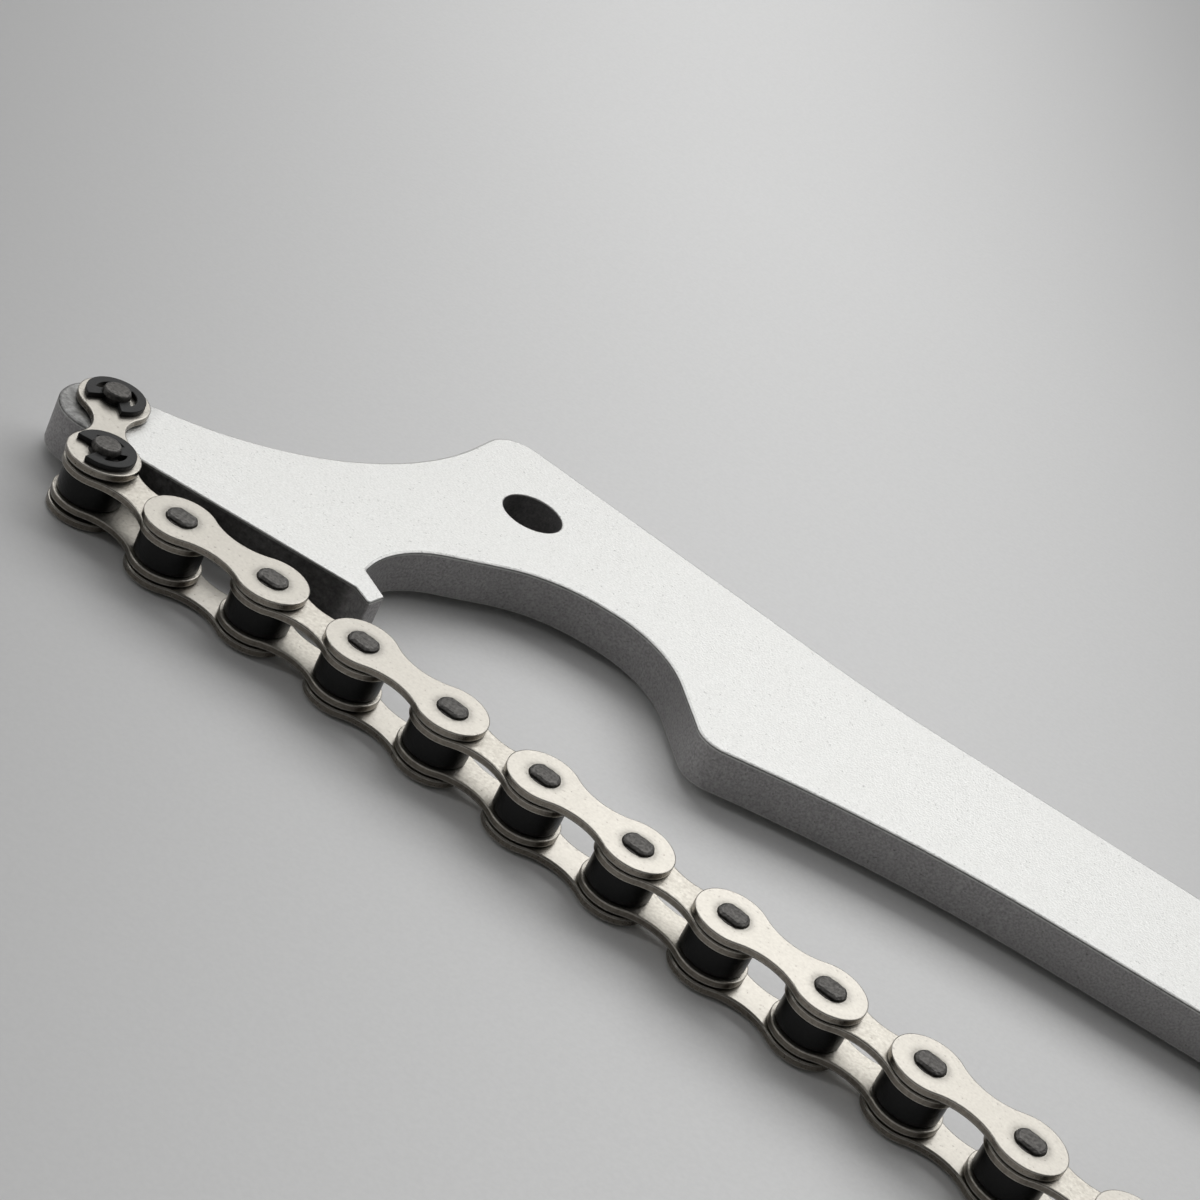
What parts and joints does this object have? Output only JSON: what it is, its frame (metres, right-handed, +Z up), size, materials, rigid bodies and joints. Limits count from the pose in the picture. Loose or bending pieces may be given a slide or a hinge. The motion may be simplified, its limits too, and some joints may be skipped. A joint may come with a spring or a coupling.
{
  "type": "chain whip",
  "caption": "Flat steel bar handle with a lockring hook, a hang hole and a length of roller chain hinged to its tip, for holding a bicycle sprocket still.",
  "frame": {"origin": "centre of the hang hole, half way through the bar's thickness", "axes": "+X along the grip, away from the chain's tip; +Y towards the back of the bar, away from the hook; +Z up, out of the face with the clips"},
  "size_m": [0.3004, 0.0937, 0.0097],
  "materials": {
    "handle_steel": "satin, fine blasted and plated",
    "outer_plate_nickel": "nickel plated, satin",
    "inner_plate_nickel": "nickel plated, slightly speckled",
    "roller_black": "black oxide, satin",
    "pin_steel": "dark hardened steel, peened",
    "clip_black": "black oxide spring steel"
  },
  "bodies": {
    "handle": {"handle": "handle_steel"},
    "anchor_link": {"anchor_plate_top": "outer_plate_nickel", "anchor_plate_bottom": "outer_plate_nickel", "anchor_pins": "pin_steel", "e_clips": "clip_black"},
    "inner_link_1": {"inner_plate_top_1": "inner_plate_nickel", "inner_plate_bottom_1": "inner_plate_nickel"},
    "outer_link_1": {"outer_plate_top_1": "outer_plate_nickel", "outer_plate_bottom_1": "outer_plate_nickel", "link_pins_1": "pin_steel"},
    "inner_link_2": {"inner_plate_top_2": "inner_plate_nickel", "inner_plate_bottom_2": "inner_plate_nickel"},
    "outer_link_2": {"outer_plate_top_2": "outer_plate_nickel", "outer_plate_bottom_2": "outer_plate_nickel", "link_pins_2": "pin_steel"},
    "inner_link_3": {"inner_plate_top_3": "inner_plate_nickel", "inner_plate_bottom_3": "inner_plate_nickel"},
    "outer_link_3": {"outer_plate_top_3": "outer_plate_nickel", "outer_plate_bottom_3": "outer_plate_nickel", "link_pins_3": "pin_steel"},
    "inner_link_4": {"inner_plate_top_4": "inner_plate_nickel", "inner_plate_bottom_4": "inner_plate_nickel"},
    "outer_link_4": {"outer_plate_top_4": "outer_plate_nickel", "outer_plate_bottom_4": "outer_plate_nickel", "link_pins_4": "pin_steel"},
    "inner_link_5": {"inner_plate_top_5": "inner_plate_nickel", "inner_plate_bottom_5": "inner_plate_nickel"},
    "outer_link_5": {"outer_plate_top_5": "outer_plate_nickel", "outer_plate_bottom_5": "outer_plate_nickel", "link_pins_5": "pin_steel"},
    "inner_link_6": {"inner_plate_top_6": "inner_plate_nickel", "inner_plate_bottom_6": "inner_plate_nickel"},
    "outer_link_6": {"outer_plate_top_6": "outer_plate_nickel", "outer_plate_bottom_6": "outer_plate_nickel", "link_pins_6": "pin_steel"},
    "inner_link_7": {"inner_plate_top_7": "inner_plate_nickel", "inner_plate_bottom_7": "inner_plate_nickel"},
    "outer_link_7": {"outer_plate_top_7": "outer_plate_nickel", "outer_plate_bottom_7": "outer_plate_nickel", "link_pins_7": "pin_steel"},
    "inner_link_8": {"inner_plate_top_8": "inner_plate_nickel", "inner_plate_bottom_8": "inner_plate_nickel"},
    "roller_1": {"roller_1": "roller_black"},
    "roller_2": {"roller_2": "roller_black"},
    "roller_3": {"roller_3": "roller_black"},
    "roller_4": {"roller_4": "roller_black"},
    "roller_5": {"roller_5": "roller_black"},
    "roller_6": {"roller_6": "roller_black"},
    "roller_7": {"roller_7": "roller_black"},
    "roller_8": {"roller_8": "roller_black"},
    "roller_9": {"roller_9": "roller_black"},
    "roller_10": {"roller_10": "roller_black"},
    "roller_11": {"roller_11": "roller_black"},
    "roller_12": {"roller_12": "roller_black"},
    "roller_13": {"roller_13": "roller_black"},
    "roller_14": {"roller_14": "roller_black"},
    "roller_15": {"roller_15": "roller_black"},
    "roller_16": {"roller_16": "roller_black"}
  },
  "joints": [
    {"name": "tip_hinge", "type": "hinge", "parent": "handle", "child": "anchor_link", "pos_m": [-0.0448, -0.0307, 0], "axis": [0, 0, 1], "range_deg": [-232, 0]},
    {"name": "link_hinge_1", "type": "hinge", "parent": "anchor_link", "child": "inner_link_1", "pos_m": [-0.03933, -0.04216, 0], "axis": [0, 0, -1], "range_deg": [-7, 110]},
    {"name": "link_hinge_2", "type": "hinge", "parent": "inner_link_1", "child": "outer_link_1", "pos_m": [-0.02701, -0.04524, 0], "axis": [0, 0, -1], "range_deg": [-11, 69]},
    {"name": "link_hinge_3", "type": "hinge", "parent": "outer_link_1", "child": "inner_link_2", "pos_m": [-0.01435, -0.04623, 0], "axis": [0, 0, -1], "range_deg": [-17, 58]},
    {"name": "link_hinge_4", "type": "hinge", "parent": "inner_link_2", "child": "outer_link_2", "pos_m": [-0.00172, -0.04756, 0], "axis": [0, 0, 1], "range_deg": [-56, 18]},
    {"name": "link_hinge_5", "type": "hinge", "parent": "outer_link_2", "child": "inner_link_3", "pos_m": [0.01081, -0.04966, 0], "axis": [0, 0, -1], "range_deg": [-20, 61]},
    {"name": "link_hinge_6", "type": "hinge", "parent": "inner_link_3", "child": "outer_link_3", "pos_m": [0.02337, -0.05153, 0], "axis": [0, 0, 1], "range_deg": [-59, 22]},
    {"name": "link_hinge_7", "type": "hinge", "parent": "outer_link_3", "child": "inner_link_4", "pos_m": [0.03591, -0.05352, 0], "axis": [0, 0, -1], "range_deg": [-24, 59]},
    {"name": "link_hinge_8", "type": "hinge", "parent": "inner_link_4", "child": "outer_link_4", "pos_m": [0.04844, -0.05562, 0], "axis": [0, 0, 1], "range_deg": [-59, 28]},
    {"name": "link_hinge_9", "type": "hinge", "parent": "outer_link_4", "child": "inner_link_5", "pos_m": [0.06094, -0.05782, 0], "axis": [0, 0, -1], "range_deg": [-32, 60]},
    {"name": "link_hinge_10", "type": "hinge", "parent": "inner_link_5", "child": "outer_link_5", "pos_m": [0.07347, -0.05992, 0], "axis": [0, 0, 1], "range_deg": [-57, 37]},
    {"name": "link_hinge_11", "type": "hinge", "parent": "outer_link_5", "child": "inner_link_6", "pos_m": [0.08589, -0.06256, 0], "axis": [0, 0, 1], "range_deg": [-60, 46]},
    {"name": "link_hinge_12", "type": "hinge", "parent": "inner_link_6", "child": "outer_link_6", "pos_m": [0.09834, -0.06509, 0], "axis": [0, 0, -1], "range_deg": [-59, 60]},
    {"name": "link_hinge_13", "type": "hinge", "parent": "outer_link_6", "child": "inner_link_7", "pos_m": [0.1108, -0.06751, 0], "axis": [0, 0, -1], "range_deg": [-59, 60]},
    {"name": "link_hinge_14", "type": "hinge", "parent": "inner_link_7", "child": "outer_link_7", "pos_m": [0.12329, -0.06983, 0], "axis": [0, 0, 1], "range_deg": [-60, 59]},
    {"name": "link_hinge_15", "type": "hinge", "parent": "outer_link_7", "child": "inner_link_8", "pos_m": [0.1358, -0.07203, 0], "axis": [0, 0, -1], "range_deg": [-60, 60]},
    {"name": "roller_spin_1", "type": "hinge", "parent": "inner_link_1", "child": "roller_1", "pos_m": [-0.03933, -0.04216, 0], "axis": [0, 0, 1], "continuous": true},
    {"name": "roller_spin_2", "type": "hinge", "parent": "inner_link_1", "child": "roller_2", "pos_m": [-0.02701, -0.04524, 0], "axis": [0, 0, 1], "continuous": true},
    {"name": "roller_spin_3", "type": "hinge", "parent": "inner_link_2", "child": "roller_3", "pos_m": [-0.01435, -0.04623, 0], "axis": [0, 0, 1], "continuous": true},
    {"name": "roller_spin_4", "type": "hinge", "parent": "inner_link_2", "child": "roller_4", "pos_m": [-0.00172, -0.04756, 0], "axis": [0, 0, 1], "continuous": true},
    {"name": "roller_spin_5", "type": "hinge", "parent": "inner_link_3", "child": "roller_5", "pos_m": [0.01081, -0.04966, 0], "axis": [0, 0, 1], "continuous": true},
    {"name": "roller_spin_6", "type": "hinge", "parent": "inner_link_3", "child": "roller_6", "pos_m": [0.02337, -0.05153, 0], "axis": [0, 0, 1], "continuous": true},
    {"name": "roller_spin_7", "type": "hinge", "parent": "inner_link_4", "child": "roller_7", "pos_m": [0.03591, -0.05352, 0], "axis": [0, 0, 1], "continuous": true},
    {"name": "roller_spin_8", "type": "hinge", "parent": "inner_link_4", "child": "roller_8", "pos_m": [0.04844, -0.05562, 0], "axis": [0, 0, 1], "continuous": true},
    {"name": "roller_spin_9", "type": "hinge", "parent": "inner_link_5", "child": "roller_9", "pos_m": [0.06094, -0.05782, 0], "axis": [0, 0, 1], "continuous": true},
    {"name": "roller_spin_10", "type": "hinge", "parent": "inner_link_5", "child": "roller_10", "pos_m": [0.07347, -0.05992, 0], "axis": [0, 0, 1], "continuous": true},
    {"name": "roller_spin_11", "type": "hinge", "parent": "inner_link_6", "child": "roller_11", "pos_m": [0.08589, -0.06256, 0], "axis": [0, 0, 1], "continuous": true},
    {"name": "roller_spin_12", "type": "hinge", "parent": "inner_link_6", "child": "roller_12", "pos_m": [0.09834, -0.06509, 0], "axis": [0, 0, 1], "continuous": true},
    {"name": "roller_spin_13", "type": "hinge", "parent": "inner_link_7", "child": "roller_13", "pos_m": [0.1108, -0.06751, 0], "axis": [0, 0, 1], "continuous": true},
    {"name": "roller_spin_14", "type": "hinge", "parent": "inner_link_7", "child": "roller_14", "pos_m": [0.12329, -0.06983, 0], "axis": [0, 0, 1], "continuous": true},
    {"name": "roller_spin_15", "type": "hinge", "parent": "inner_link_8", "child": "roller_15", "pos_m": [0.1358, -0.07203, 0], "axis": [0, 0, 1], "continuous": true},
    {"name": "roller_spin_16", "type": "hinge", "parent": "inner_link_8", "child": "roller_16", "pos_m": [0.14831, -0.07424, 0], "axis": [0, 0, 1], "continuous": true}
  ]
}
